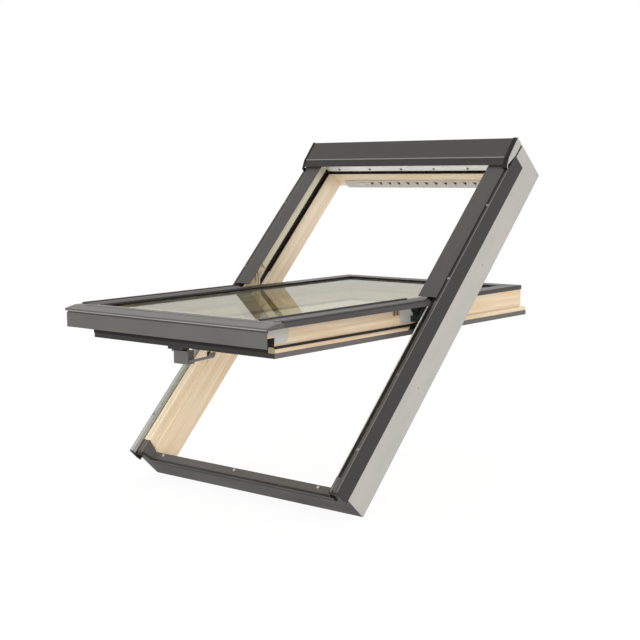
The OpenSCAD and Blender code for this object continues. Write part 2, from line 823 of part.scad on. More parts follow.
module inner_pane() {
    color("#CFE0DA", 0.35) in_sash() pane(glass_u0, inner_pane_n);
}

// A rectangular ring along the edges of a pane that starts at u0, set in from them.
module glass_ring(u0, inset, width, n0, n1) {
    difference() {
        block([inset - glass_x, u0 + inset, n0], [glass_x - inset, glass_u1 - inset, n1]);
        block([inset + width - glass_x, u0 + inset + width, n0 - cut],
              [glass_x - inset - width, glass_u1 - inset - width, n1 + cut]);
    }
}

spacer_inset = 4;
spacer_w = 7;

module spacer_bar() {
    color(light_metal) in_sash()
        glass_ring(glass_u0, spacer_inset, spacer_w, inner_pane_n + pane_t, outer_pane_n);
}

gasket_w = 8;

module glazing_gasket() {
    color(rubber) in_sash()
        glass_ring(pane_step, glass_edge_gap, gasket_w, outer_pane_n + pane_t, sash_timber_n);
}

// Wide cover along the lower half of the sash, which shuts over the frame's channel.
module lower_cover_profile() {
    polygon([
        [cover_in_x, sash_timber_n], [cover_in_x, sash_top_n], [cover_out_x, sash_top_n],
        [cover_out_x, sash_top_n - cover_edge_h], [cover_out_x - sheet_t, sash_top_n - cover_edge_h],
        [cover_out_x - sheet_t, sash_timber_n]
    ]);
}

module sash_lower_cover(side) {
    color(dark_metal) in_sash() on_side(side) along_u(cover_u0 + seam, cover_mid_u) lower_cover_profile();
}

module sash_left_lower_cover() { sash_lower_cover(-1); }
module sash_right_lower_cover() { sash_lower_cover(1); }

// Narrow cover along the upper half of the sash. Its edge starts above the hinge.
module sash_upper_cover(side) {
    color(dark_metal) in_sash() on_side(side) {
        along_u(cover_mid_u + seam, cover_u1 - seam)
            bar([cover_in_x, sash_timber_n], [sash_x, sash_top_n]);
        along_u(axis_u + hinge_reach + seam, cover_u1 - seam) polygon([
            [sash_x - lap, sash_timber_n], [sash_x - lap, sash_top_n], [sash_x + sheet_t, sash_top_n],
            [sash_x + sheet_t, sash_top_n - cover_edge_h], [sash_x, sash_top_n - cover_edge_h],
            [sash_x, sash_timber_n]
        ]);
    }
}

module sash_left_upper_cover() { sash_upper_cover(-1); }
module sash_right_upper_cover() { sash_upper_cover(1); }

// Cover of the top rail, turned down at its end and at its sides.
module sash_top_cover() {
    rim_x = sash_x + sheet_t;
    color(dark_metal) in_sash() {
        along_x(-rim_x, rim_x) polygon([
            [cover_u1, sash_timber_n], [cover_u1, sash_top_n], [sash_u1 + sheet_t, sash_top_n],
            [sash_u1 + sheet_t, sash_top_n - cover_edge_h], [sash_u1, sash_top_n - cover_edge_h],
            [sash_u1, sash_timber_n]
        ]);
        for (side = [-1, 1])
            on_side(side) block([sash_x, cover_u1, sash_top_n - cover_edge_h],
                                [rim_x, sash_u1 + sheet_t, sash_top_n]);
    }
}

// Cover of the bottom rail: a strip over the glass, a front slope with a turned-down edge, a shadow
// groove, and the deep fascia with its hem.
fascia_step = 2;
fascia_in = 4;
band_h = 6.5;
shadow_d = 5.5;
shadow_h = 4;

module sash_bottom_cover() {
    fascia_n0 = sash_top_n - fascia_h;
    slope_front_n = sash_top_n - clamp_fall;
    band_n = slope_front_n - band_h;
    back_u = sheet_t - fascia_over;
    web_u = shadow_d - fascia_over;
    face_u = fascia_step - fascia_over;
    face_n1 = band_n - shadow_h;
    color(dark_metal) in_sash() {
        along_x(-cover_out_x, cover_out_x) polygon([
            [cover_u0, sash_timber_n], [cover_u0, sash_top_n], [0, sash_top_n], [-fascia_over, slope_front_n],
            [-fascia_over, band_n], [web_u + sheet_t, band_n], [web_u + sheet_t, band_n + sheet_t],
            [back_u, band_n + sheet_t], [back_u, slope_n(back_u)], [0, sash_timber_n]
        ]);
        along_x(fascia_in - cover_out_x, cover_out_x - fascia_in) polygon([
            [web_u, band_n + lap], [web_u + sheet_t, band_n + lap], [web_u + sheet_t, face_n1 - sheet_t],
            [face_u + sheet_t, face_n1 - sheet_t], [face_u + sheet_t, fascia_n0 + sheet_t],
            [nose_u - fascia_step, fascia_n0 + sheet_t], [nose_u - fascia_step, fascia_n0],
            [face_u, fascia_n0], [face_u, face_n1], [web_u, face_n1]
        ]);
        for (side = [-1, 1])
            on_side(side) along_x(cover_out_x - sheet_t, cover_out_x) polygon([
                [-fascia_over, band_n], [-fascia_over, slope_front_n], [0, sash_top_n], [cover_u0, sash_top_n],
                [cover_u0, sash_top_n - cover_edge_h]
            ]);
    }
}

// Light plate on the side of the sash at its lower corner, with a large round at its back.
corner_plate_t = 2;
corner_plate_r = 18;
corner_back = 81;
corner_front_in = 9;
corner_top_drop = 9;
corner_seal_gap = 5;
corner_n0 = groove_n + groove_h + corner_seal_gap;

module corner_plate(side) {
    round_u = corner_back - corner_plate_r;
    round_n = corner_n0 + corner_plate_r;
    top_n = sash_top_n - corner_top_drop;
    color(light_metal) in_sash() on_side(side) along_x(sash_x, sash_x + corner_plate_t) {
        bar([nose_u + corner_front_in, nose_n + corner_plate_t], [round_u, top_n]);
        bar([lip_u0, corner_n0], [round_u, top_n]);
        bar([round_u - corner_plate_r, round_n], [corner_back, top_n]);
        translate([round_u, round_n]) circle(r = corner_plate_r);
    }
}

module left_corner_plate() { corner_plate(-1); }
module right_corner_plate() { corner_plate(1); }

// Rubber seals of the lower half: in the grooves of the stiles, and under the nose of the bottom rail
// and down its front.
sash_seal_out = 6;
sash_seal_stop = 25;
front_seal_t = 3;
nose_seal_w = 20;
nose_web_t = 1.5;

module sash_seal(side) {
    color(rubber) in_sash() on_side(side) along_u(lip_u0, axis_u - sash_seal_stop)
        bar([sash_x - groove_d, groove_n], [sash_x + sash_seal_out, groove_n + groove_h]);
}

module left_sash_seal() { sash_seal(-1); }
module right_sash_seal() { sash_seal(1); }

module bottom_sash_seal() {
    front_u = lip_u0 - front_seal_t;
    color(rubber) in_sash() along_x(-sash_x, sash_x) polygon([
        [nose_u, nose_n], [lip_u0, nose_n], [lip_u0, sash_room_n], [front_u, sash_room_n],
        [front_u, nose_n - nose_web_t], [nose_u + nose_seal_w, nose_n - nose_web_t],
        [nose_u + nose_seal_w, nose_n - nose_seal_h], [nose_u, nose_n - nose_seal_h]
    ]);
}

// Grey lip round the room side of the sash, mitred at its corners.
lip_x = sash_x + lip_proud;

module side_lip(side) {
    color(grey_lip) in_sash() on_side(side) translate([0, 0, lip_n]) linear_extrude(lip_h) polygon([
        [lip_x, lip_u0], [lip_x, lip_u1], [lip_x - lip_w, lip_u1 - lip_w], [lip_x - lip_w, lip_u0 + lip_w]
    ]);
}

module left_inner_lip() { side_lip(-1); }
module right_inner_lip() { side_lip(1); }

module top_inner_lip() {
    color(grey_lip) in_sash() translate([0, 0, lip_n]) linear_extrude(lip_h) polygon([
        [-lip_x, lip_u1], [lip_x, lip_u1], [lip_x - lip_w, lip_u1 - lip_w], [lip_w - lip_x, lip_u1 - lip_w]
    ]);
}

module bottom_inner_lip() {
    color(grey_lip) in_sash() translate([0, 0, lip_n]) linear_extrude(lip_h) polygon([
        [-lip_x, lip_u0], [lip_x, lip_u0], [lip_x - lip_w, lip_u0 + lip_w], [lip_w - lip_x, lip_u0 + lip_w]
    ]);
}

// Handle base: a bar on the bottom rail, with a round collar that the lever turns under.
module handle_base() {
    color("#2B2B2C") in_sash() translate([handle_x, handle_u, 0]) difference() {
        union() {
            translate([-base_shift, 0, handle_base_n]) linear_extrude(handle_base_t)
                round_bar(handle_base_l, handle_base_w, handle_base_w / 6);
            translate([0, 0, collar_n]) cylinder(d = collar_d, h = collar_h + lap);
        }
        translate([0, 0, collar_n - cut])
            cylinder(r = spindle_d / 2 + spindle_clear, h = sash_room_n - collar_n + cut + cut);
    }
}

// A bar with round corners about its middle.
module round_bar(l, w, r) {
    square([l - r - r, w], center = true);
    square([l, w - r - r], center = true);
    for (sx = [-1, 1], su = [-1, 1])
        translate([sx * (l / 2 - r), su * (w / 2 - r)]) circle(r = r);
}

// Side view of the lever's arm, in x and n: it rises from the foot of the hub and ends in a round hook.
module lever_outline() {
    hook_x = lever_l - hook_r;
    polygon([
        [hub_w / 4, hub_n0], [hook_x + lap, hub_n0 + lever_rise],
        [hook_x + lap, hub_n0 + lever_rise + lever_t], [hub_w / 4, hub_n0 + lever_t]
    ]);
    intersection() {
        translate([hook_x, hub_n0 + lever_rise + hook_r]) difference() {
            circle(r = hook_r);
            circle(r = hook_r - lever_t);
        }
        bar([hook_x, hub_n0 + lever_rise], [lever_l + cut, hub_n0 + lever_rise + hook_r]);
    }
}

// Lever: hub, spindle, latch tongue and the arm.
module handle_lever() {
    color("#8F9293") in_sash() translate([handle_x, handle_u, 0]) {
        translate([0, 0, hub_n0]) linear_extrude(hub_h) round_bar(hub_w, hub_d, hub_round);
        translate([0, 0, hub_n1 - lap])
            cylinder(d = spindle_d, h = sash_room_n - hub_n1 + spindle_in - cut + lap);
        block([-tongue_l, -tongue_w / 2, hub_n1 - tongue_t], [lap - hub_w / 2, tongue_w / 2, hub_n1]);
        along_u(-lever_w / 2, lever_w / 2) lever_outline();
    }
}

frame_left_stile();
frame_right_stile();
frame_top_rail();
frame_sill();
left_side_plate();
right_side_plate();
left_frame_cover();
right_frame_cover();
sill_cover();
left_sill_corner();
right_sill_corner();
sill_screws();
left_upper_cover();
right_upper_cover();
top_hood();
left_hood_end();
right_hood_end();
head_strip();
strip_screws();
left_rebate_strip();
right_rebate_strip();
left_frame_seal();
right_frame_seal();
head_seal();
left_channel_gasket();
right_channel_gasket();
vent_grille();
vent_slider();
left_hinge_channel();
right_hinge_channel();
keeper_plate();
cover_screws();
sash_left_stile();
sash_right_stile();
sash_top_rail();
sash_bottom_rail();
outer_pane();
inner_pane();
spacer_bar();
glazing_gasket();
sash_left_lower_cover();
sash_right_lower_cover();
sash_left_upper_cover();
sash_right_upper_cover();
sash_top_cover();
sash_bottom_cover();
left_corner_plate();
right_corner_plate();
left_sash_seal();
right_sash_seal();
bottom_sash_seal();
left_inner_lip();
right_inner_lip();
top_inner_lip();
bottom_inner_lip();
left_hinge_arc();
right_hinge_arc();
handle_base();
handle_lever();
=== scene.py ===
import json
import math

import bmesh
import bpy
import numpy as np
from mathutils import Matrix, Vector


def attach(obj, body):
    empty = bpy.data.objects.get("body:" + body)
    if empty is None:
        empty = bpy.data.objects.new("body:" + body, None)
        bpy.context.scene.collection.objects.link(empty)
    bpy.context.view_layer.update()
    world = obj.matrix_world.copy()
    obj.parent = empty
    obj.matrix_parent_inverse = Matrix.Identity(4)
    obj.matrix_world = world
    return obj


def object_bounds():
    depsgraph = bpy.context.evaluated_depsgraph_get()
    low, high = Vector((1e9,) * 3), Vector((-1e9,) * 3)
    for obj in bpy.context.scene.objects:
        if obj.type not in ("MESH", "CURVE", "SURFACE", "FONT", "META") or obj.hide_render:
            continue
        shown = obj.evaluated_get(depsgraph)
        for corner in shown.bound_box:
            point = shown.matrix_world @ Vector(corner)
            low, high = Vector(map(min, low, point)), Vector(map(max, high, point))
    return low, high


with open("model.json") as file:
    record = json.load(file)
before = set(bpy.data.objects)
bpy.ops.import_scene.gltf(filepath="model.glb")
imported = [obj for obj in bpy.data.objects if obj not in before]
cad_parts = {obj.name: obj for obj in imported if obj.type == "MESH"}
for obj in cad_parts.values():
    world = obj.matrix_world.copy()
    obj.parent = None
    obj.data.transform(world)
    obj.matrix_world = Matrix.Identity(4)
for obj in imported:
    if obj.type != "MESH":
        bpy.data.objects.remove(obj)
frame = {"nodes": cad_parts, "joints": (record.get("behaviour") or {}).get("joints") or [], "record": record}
cad_box = [list(corner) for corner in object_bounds()]
nodes = frame["nodes"]


# Frame timber: two stiles, a head and a sill of laminated pine under clear lacquer.
# The stiles run the full length, and the head and sill are glued and screwed between them.
mounts = {mount["name"]: mount for mount in frame["record"]["mounts"]}
_, room_y, room_z = mounts["sill_room_face"]["axis"]
roof_pitch = math.atan2(room_y, -room_z)
ACROSS, UP = 0, 1
pine_light, pine_mid, pine_dark, pine_edge_highlight = "#F3E3CC", "#EEDABD", "#E3C8A2", "#FFF4E2"


def colour(code):
    """Linear colour of a hex code: each part to the power of 2.4 above the foot of the sRGB curve."""
    part = np.array([int(code[i:i + 2], 16) for i in (1, 3, 5)]) / 255
    return (*np.where(part > 0.04045, ((part + 0.055) / 1.055) ** 2.4, part / 12.92), 1.0)


def tinted(code, red, green, blue):
    """The linear colour of a hex code with a share of its red, green and blue."""
    return tuple(np.array(colour(code)) * [red, green, blue, 1])


def start_finish(name, **sockets):
    """A new material with uniform values set on its shader; gives the material, its tree and its shader."""
    material = bpy.data.materials.new(name)
    material.use_nodes = True
    tree = material.node_tree
    shader = tree.nodes["Principled BSDF"]
    for socket, value in sockets.items():
        shader.inputs[socket.replace("_", " ")].default_value = value
    return material, tree, shader


def add_node(tree, kind, inputs=None, **settings):
    """One shader node: settings are its properties, inputs are values to set or sockets to link."""
    new = tree.nodes.new("ShaderNode" + kind)
    for key, value in settings.items():
        setattr(new, key, value)
    for key, value in (inputs or {}).items():
        if isinstance(value, bpy.types.NodeSocket):
            tree.links.new(value, new.inputs[key])
        else:
            new.inputs[key].default_value = value
    return new


def noise_at(tree, size, tilt=0.0, *, detail, roughness, distortion=0.0):
    """Noise whose lumps measure size along x, u and n, on object coordinates turned by the tilt about X."""
    place = add_node(tree, "TexCoord").outputs["Object"]
    mapped = add_node(tree, "Mapping", {"Vector": place, "Rotation": (tilt, 0, 0), "Scale": size},
                      vector_type="TEXTURE")
    noise = add_node(tree, "TexNoise", {"Vector": mapped.outputs["Vector"], "Scale": 1.0, "Detail": detail,
                                        "Roughness": roughness, "Distortion": distortion})
    return noise.outputs["Fac"]


def ramp(tree, factor, stops):
    """A colour ramp through the stops, each a place from 0 to 1 and a colour or a grey level."""
    new = add_node(tree, "ValToRGB", {"Fac": factor})
    for i, (place, value) in enumerate(stops):
        if i > 1:
            new.color_ramp.elements.new(place)
        new.color_ramp.elements[i].position = place
        new.color_ramp.elements[i].color = value if isinstance(value, tuple) else (value, value, value, 1)
    return new.outputs["Color"]


def add_bump(tree, shader, height, distance, strength):
    """Links a height to the shader's normal, at a relief of distance in metres."""
    bump = add_node(tree, "Bump", {"Height": height, "Distance": distance, "Strength": strength})
    tree.links.new(bump.outputs["Normal"], shader.inputs["Normal"])


def edge_line(tree, radius):
    """0 on flat faces, rising to 1 at an edge, as the rounded normal turns away from the true one.
    The dot product of the two is mapped from just under 1 down to a wide turn."""
    rounded = add_node(tree, "Bevel", {"Radius": radius}, samples=4).outputs["Normal"]
    true = add_node(tree, "NewGeometry").outputs["True Normal"]
    alike = add_node(tree, "VectorMath", {0: rounded, 1: true}, operation="DOT_PRODUCT").outputs["Value"]
    return add_node(tree, "MapRange", {"Value": alike, "From Min": 0.995, "From Max": 0.85}).outputs[0]


def blend(tree, factor, first, second, mode="MIX"):
    """Two colours mixed by a factor."""
    new = add_node(tree, "Mix", {0: factor, 6: first, 7: second}, data_type="RGBA", blend_type=mode)
    return new.outputs[2]


def pine(name, tilt, along, tint_share=(1, 1, 1)):
    """Pine: long streaks of early and late wood and fine pores, both drawn out along the grain,
    and a painted highlight along its edges.
    The tint share is the share of red, green and blue kept in the finished colour."""
    def drawn(width, length):
        return (length, width, width) if along == ACROSS else (width, length, width)

    streak_size, pore_size = drawn(0.016, 0.55), drawn(0.0022, 0.16)
    edge_radius, relief = 0.002, 0.0002
    material, tree, shader = start_finish(name, Roughness=0.42, Coat_Weight=0.12, Coat_Roughness=0.3)
    streak = noise_at(tree, streak_size, tilt, detail=4, roughness=0.6, distortion=0.6)
    pores = noise_at(tree, pore_size, tilt, detail=3, roughness=0.6)
    tones = [colour(code) for code in (pine_light, pine_mid, pine_dark)]
    tone = ramp(tree, streak, list(zip((0.32, 0.5, 0.74), tones)))
    wood = blend(tree, 1.0, tone, ramp(tree, pores, [(0.42, 1.0), (0.7, 0.86)]), "MULTIPLY")
    # The edges are painted pale cream as a highlight, where the rounded normal turns from the true one.
    highlighted = blend(tree, edge_line(tree, edge_radius), wood, colour(pine_edge_highlight))
    tree.links.new(blend(tree, 1.0, highlighted, (*tint_share, 1.0), "MULTIPLY"), shader.inputs["Base Color"])
    tree.links.new(ramp(tree, pores, [(0.3, 0.38), (0.7, 0.52)]), shader.inputs["Roughness"])
    add_bump(tree, shader, pores, relief, strength=0.5)
    return material


def dress(names, material):
    """Gives the named CAD pieces one material."""
    for name in names:
        nodes[name].data.materials.clear()
        nodes[name].data.materials.append(material)


dress(["frame_left_stile", "frame_right_stile"], pine("pine up the frame", roof_pitch, UP))
dress(["frame_top_rail", "frame_sill"], pine("pine across the frame", roof_pitch, ACROSS))


# Pale strips: thin coated metal, white on the head and cream in the rebates of the stiles.
# They are pressed to shape and fixed to the timber with small screws.
def powder_coat(name, tone, tilt, roughness=0.45):
    """Powder coat: the colour drifts a little, and a fine orange peel breaks up the gloss."""
    cloud_size, peel_size = (0.12, 0.2, 0.06), (0.0016, 0.0016, 0.0016)
    drift, gloss_drift, relief = 0.07, 0.05, 0.00008
    material, tree, shader = start_finish(name, Specular_IOR_Level=0.35)
    cloud = noise_at(tree, cloud_size, tilt, detail=2, roughness=0.5)
    peel = noise_at(tree, peel_size, tilt, detail=2, roughness=0.5)
    shades = [tinted(tone, level, level, level) for level in (1 - drift, 1 + drift)]
    tree.links.new(ramp(tree, cloud, [(0.3, shades[0]), (0.7, shades[1])]), shader.inputs["Base Color"])
    gloss = ramp(tree, cloud, [(0.3, roughness - gloss_drift), (0.7, roughness + gloss_drift)])
    tree.links.new(gloss, shader.inputs["Roughness"])
    add_bump(tree, shader, peel, relief, strength=0.4)
    return material


dress(["head_strip"], powder_coat("pale strip coat", "#FAF9F7", roof_pitch, roughness=0.5))
cream_strip = powder_coat("cream strip coat", "#E9E1C8", roof_pitch, roughness=0.5)
dress(["left_rebate_strip", "right_rebate_strip"], cream_strip)


# Rubber seals and gaskets of the frame: black and dark brown extrusions.
# They are cut to length and pressed into grooves round the opening and along the channels.
def rubber(name, tone):
    """Extruded rubber: nearly black, matt, with a faint bloom."""
    bloom_size, bloom_gain = (0.02, 0.02, 0.02), 1.5
    material, tree, shader = start_finish(name, Roughness=0.6, Specular_IOR_Level=0.3)
    bloom = noise_at(tree, bloom_size, detail=3, roughness=0.6)
    bright = tinted(tone, bloom_gain, bloom_gain, bloom_gain)
    tree.links.new(ramp(tree, bloom, [(0.3, colour(tone)), (0.75, bright)]), shader.inputs["Base Color"])
    return material


brown_rubber = rubber("dark brown rubber", "#140D06")
# Black rubber for real gaskets, also laid as painted shade in gaps, grooves, holes and the right channel.
black_rubber_and_shade = rubber("black rubber and painted shade", "#161412")
dress(["left_frame_seal", "right_frame_seal", "head_seal"], brown_rubber)
dress(["left_channel_gasket", "right_channel_gasket"], black_rubber_and_shade)


# Side plates: light sheet aluminium, left as rolled.
# They are cut to the slope and screwed to the outer sides of the stiles.
def bare_aluminium(name, tone, tilt):
    """Rolled aluminium: faint streaks along the rolling direction and soft warm and cool patches."""
    cloud_size, roll_size, relief = (0.09, 0.16, 0.05), (0.0012, 0.09, 0.0012), 0.0001
    cool, warm = tinted(tone, 0.90, 0.93, 0.90), tinted(tone, 1.0, 0.955, 0.945)
    material, tree, shader = start_finish(name, Metallic=0.35, Roughness=0.5)
    cloud = noise_at(tree, cloud_size, tilt, detail=2, roughness=0.5)
    roll = noise_at(tree, roll_size, tilt, detail=3, roughness=0.6)
    patch = ramp(tree, cloud, [(0.35, cool), (0.65, warm)])
    streaks = ramp(tree, roll, [(0.3, 0.93), (0.7, 1.0)])
    tree.links.new(blend(tree, 1.0, patch, streaks, "MULTIPLY"), shader.inputs["Base Color"])
    tree.links.new(ramp(tree, roll, [(0.3, 0.42), (0.7, 0.58)]), shader.inputs["Roughness"])
    add_bump(tree, shader, roll, relief, strength=0.4)
    return material


bare_frame = bare_aluminium("bare aluminium of the frame", "#BCB9B4", roof_pitch)
dress(["left_side_plate", "right_side_plate"], bare_frame)


# Frame covers: folded aluminium sheet, powder coated grey brown, fixed over the outer edges of the stiles
# with dull steel screws. Each has a strip along its outer edge, lined with a coat painted light on the left
# and shaded on the right, a bead painted as a highlight on its corner, and a black slab painted as the shadow
# at its lower end.
joints = {joint["name"]: joint for joint in frame["joints"]}
pivot = np.array(joints["sash_pivot"]["pos_m"])
axis_u, axis_n = 608.0, 147.0
sides = {"left": np.array([-1, 1]), "right": np.array([1, 1])}
face_n, channel_n = 131.0, 118.3
strip_out, strip_in = 389.5, 379.1
lining_sink, lining_rise, lining_t = 0.1, 0.25, 0.55
cover_u0, half_u1, cover_u1 = -9.5, 599.0, 1080.0
# The bead painted as a highlight on the outer corner of each strip.
edge_highlight_x, edge_highlight_w, edge_highlight_h = 388.9, 2.0, 0.7
# The black slab painted as the shadow at the lower end of each cover.
end_shadow_u0, end_shadow_u1 = -11.2, -10.05


def skin(name, groups, pitch, body, material):
    """Closed skins in one mesh. A group is a row of rings of points (x, u, n in mm): four-sided faces join
    each ring to the next, and the end rings are filled. The points turn by the pitch about the pivot."""
    groups = np.asarray(groups, float)
    count, rings, points, _ = groups.shape
    x, u, n = (groups.reshape(-1, 3) - [0, axis_u, axis_n]).T / 1000
    across, along = math.cos(pitch), math.sin(pitch)
    place = pivot * [0, 1, 1] + np.stack([x, u * across - n * along, u * along + n * across], 1)
    ring = np.arange(len(place)).reshape(count, rings, points)
    after = np.roll(ring, -1, 2)
    faces = np.stack([ring[:, :-1], after[:, :-1], after[:, 1:], ring[:, 1:]], -1).reshape(-1, 4)
    ends = np.concatenate([ring[:, 0, ::-1], ring[:, -1]])
    mesh = bpy.data.meshes.new(name)
    mesh.from_pydata(place.tolist(), [], faces.tolist() + ends.tolist())
    shell = bmesh.new()
    shell.from_mesh(mesh)
    bmesh.ops.recalc_face_normals(shell, faces=shell.faces)
    shell.to_mesh(mesh)
    shell.free()
    mesh.materials.append(material)
    piece = bpy.data.objects.new(name, mesh)
    bpy.context.scene.collection.objects.link(piece)
    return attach(piece, body)


def drawn_out(outlines, start, stop, way):
    """Rings for straight lengths: each outline's points at both ends, drawn in x and n and run up the
    slope, or drawn in u and n and run across."""
    flat = np.asarray(outlines, float)
    ends = np.stack([np.full(flat.shape[:2], start), np.full(flat.shape[:2], stop)], 1)
    flat = np.repeat(flat[:, None], 2, 1)
    first, second = (ends, flat[..., 0]) if way == ACROSS else (flat[..., 0], ends)
    return np.stack([first, second, flat[..., 1]], -1)


def bead(middle, foot, width, height, points=11):
    """A half ellipse on a flat foot: the cosine gives the place across it and the sine the height."""
    turn = np.linspace(0, math.pi, points)
    return np.stack([middle + width / 2 * np.cos(turn), foot + height * np.sin(turn)], 1)


dress(["left_frame_cover", "right_frame_cover"],
      powder_coat("grey brown coat of the frame", "#2C2A29", roof_pitch))
dress(["cover_screws", "strip_screws"], bare_aluminium("dull steel of the screws", "#8A8884", roof_pitch))
# A lighter coat on beads, painted as a highlight along edges, folds and ridges.
edge_highlight_coat = powder_coat("painted highlight of edges", "#74726E", roof_pitch, roughness=0.35)
# One lining, painted lit on the left strip and shaded on the right one.
lit_and_shaded_linings = {"left": powder_coat("left strip lining painted lit", "#A9ABA8", roof_pitch),
           "right": powder_coat("right strip lining painted in shade", "#4A4946", roof_pitch)}
strip_outline = np.array([[strip_out, face_n - lining_sink], [strip_out, face_n + lining_rise],
                          [strip_in - lining_t, face_n + lining_rise], [strip_in - lining_t, channel_n],
                          [strip_in, channel_n], [strip_in, face_n - lining_sink]])
edge_highlight_bead = bead(edge_highlight_x, face_n, edge_highlight_w, edge_highlight_h)
# Outline of the black slab painted as the shadow under the cover's lower end.
end_shadow_outline = np.array([[390.4, 90.0], [390.4, 131.4], [378.4, 131.4], [378.4, 114.2], [386.5, 114.2],
                         [386.5, 90.0]])
for side, flip in sides.items():
    skin(side + "_strip_light_and_shade", drawn_out([strip_outline * flip], cover_u0, half_u1, UP), roof_pitch,
         "frame", lit_and_shaded_linings[side])
    skin(side + "_strip_edge", drawn_out([edge_highlight_bead * flip], cover_u0, cover_u1, UP), roof_pitch, "frame",
         edge_highlight_coat)
    skin(side + "_cover_end_shadow", drawn_out([end_shadow_outline * flip], end_shadow_u0, end_shadow_u1, UP), roof_pitch, "frame",
         black_rubber_and_shade)


# Channel liners: a pale pine strip laid on the floor of the left channel, and in the right one a black strip
# painted as the shadow of its wall. Each has a thin trim clipped over the hem of the cover, painted white as
# a highlight on the right, and runs along the lower half of the stile.
liner_u0 = 39.8
liner_outline = np.array([[376.5, 117.9], [376.5, 118.1], [371.1, 118.1], [370.8, 116.8], [354.0, 116.8],
                          [354.0, 116.1], [371.0, 116.1], [371.0, 117.9]])
hem_outline = np.array([[354.0, 116.8], [354.0, 119.4], [351.4, 119.4], [351.4, 114.7], [351.9, 114.7],
                        [351.9, 119.05], [353.55, 119.05], [353.55, 116.8]])
pale_pine = pine("pale pine of the liner", roof_pitch, UP)
# White painted as a highlight on the right hem.
hem_highlight = powder_coat("painted hem highlight", "#E8E6E0", roof_pitch, roughness=0.4)
# The right floor is black, painted as the shadow cast by the wall of its channel.
liners = {"left": (pale_pine, pale_pine), "right": (black_rubber_and_shade, hem_highlight)}
for side, flip in sides.items():
    floor_finish, hem_finish = liners[side]
    skin(side + "_channel_liner", drawn_out([liner_outline * flip], liner_u0, half_u1, UP), roof_pitch,
         "frame", floor_finish)
    skin(side + "_hem_trim", drawn_out([hem_outline * flip], liner_u0, half_u1, UP), roof_pitch, "frame",
         hem_finish)


# Sill cover: folded coated sheet with its front painted darker as shade, screwed over the sill, and its two
# corner pieces. A black strip under its lip is painted as the shadow there, and pressed ridges stiffen the
# corners where the channels drain, coated light as a painted highlight.
# Ends of the sill's front, painted darker as shade.
shaded_front_u0, shaded_front_u1 = -12.6, 0.6
# Half length of the black strip painted as the shadow under the lip.
drip_shadow_x = 345.0
ridge_xs, ridge_foot, ridge_w, ridge_h = (357.5, 367.0), 117.4, 3.0, 2.0
ridge_u0, ridge_u1 = -5.8, 38.5


def painted_shade_band(material, pitch, start, stop, tone):
    """A second, darker colour painted as shade from start to stop up the slope, in mm: where the object
    coordinate along the slope lies within half the band's length of its middle."""
    tree = material.node_tree
    base = tree.nodes["Principled BSDF"].inputs["Base Color"]
    slope = np.array([0, math.cos(pitch), math.sin(pitch)])
    middle = float(slope @ pivot) + ((start + stop) / 2 - axis_u) / 1000
    spot = add_node(tree, "TexCoord").outputs["Object"]
    reach = add_node(tree, "VectorMath", {0: spot, 1: slope}, operation="DOT_PRODUCT").outputs["Value"]
    inside = add_node(tree, "Math", {0: reach, 1: middle, 2: (stop - start) / 2000}, operation="COMPARE")
    tree.links.new(blend(tree, inside.outputs[0], base.links[0].from_socket, colour(tone)), base)
    return material


sill_coat = powder_coat("coat of the sill", "#524E4A", roof_pitch)
dress(["sill_cover", "left_sill_corner", "right_sill_corner"],
      painted_shade_band(sill_coat, roof_pitch, shaded_front_u0, shaded_front_u1, "#272421"))
dress(["keeper_plate", "sill_screws"], bare_frame)
# Outline of the black strip painted as the shadow under the sill's lip.
drip_shadow_outline = [[-4.0, 68.0], [-0.1, 64.0], [-0.1, 84.9], [-5.0, 84.9]]
skin("sill_drip_shadow", drawn_out([drip_shadow_outline], -drip_shadow_x, drip_shadow_x, ACROSS), roof_pitch, "frame", black_rubber_and_shade)
ridges = np.array([bead(x, ridge_foot, ridge_w, ridge_h) for x in ridge_xs])
for side, flip in sides.items():
    skin(side + "_corner_ridges", drawn_out(ridges * flip, ridge_u0, ridge_u1, UP), roof_pitch, "frame",
         edge_highlight_coat)


# Upper covers: folded coated sheet over the upper half of the sash, screwed to the frame.
# A black strip in the joint between each of them and the frame cover beside it is painted as the gap's
# shadow.
gap_u0 = 612.0
# Outline of the black strip painted as the shadow in the joint.
gap_shadow_outline = np.array([[378.3, 130.5], [378.3, 131.7], [381.4, 131.7], [381.4, 130.9]])
dress(["left_upper_cover", "right_upper_cover"],
      powder_coat("coat of the upper covers", "#43413F", roof_pitch))
for side, flip in sides.items():
    skin(side + "_gap_shadow", drawn_out([gap_shadow_outline * flip], gap_u0, cover_u1, UP), roof_pitch, "frame",
         black_rubber_and_shade)


# Hood: one folded coated sheet over the head, with bare ends. Its nose is painted darker as shade, with a
# painted highlight along the fold, and black moulded caps are pushed over its ends, the right one with a
# light hook; at the right end the cap's black also stands for the shade beside the end plate.
# Band of the nose painted darker as shade.
shaded_nose_u0, shaded_nose_u1 = 1086.3, 1109.7
fold_x0, fold_x1 = -383.0, 372.0
cap_ends = {"left": (-391.0, -384.0), "right": (373.0, 387.9)}
hook_x0, hook_x1 = 388.2, 390.0
# Outline of the bead painted as a highlight along the fold.
fold_highlight_outline = [[1109.0, 149.6], [1108.7, 150.3], [1110.6, 150.9], [1112.4, 150.9], [1112.4, 150.2]]
cap_outline = [[1080.5, 131.6], [1080.5, 138.5], [1086.6, 142.1], [1109.6, 151.2], [1181.2, 157.2],
               [1181.2, 150.0], [1179.5, 150.0], [1179.5, 155.4], [1110.2, 149.4], [1089.0, 140.8],
               [1089.0, 131.6]]
hook_outline = [[1082.0, 132.0], [1082.0, 138.0], [1088.2, 141.2], [1088.2, 139.6], [1083.6, 137.2],
                [1083.6, 132.0]]
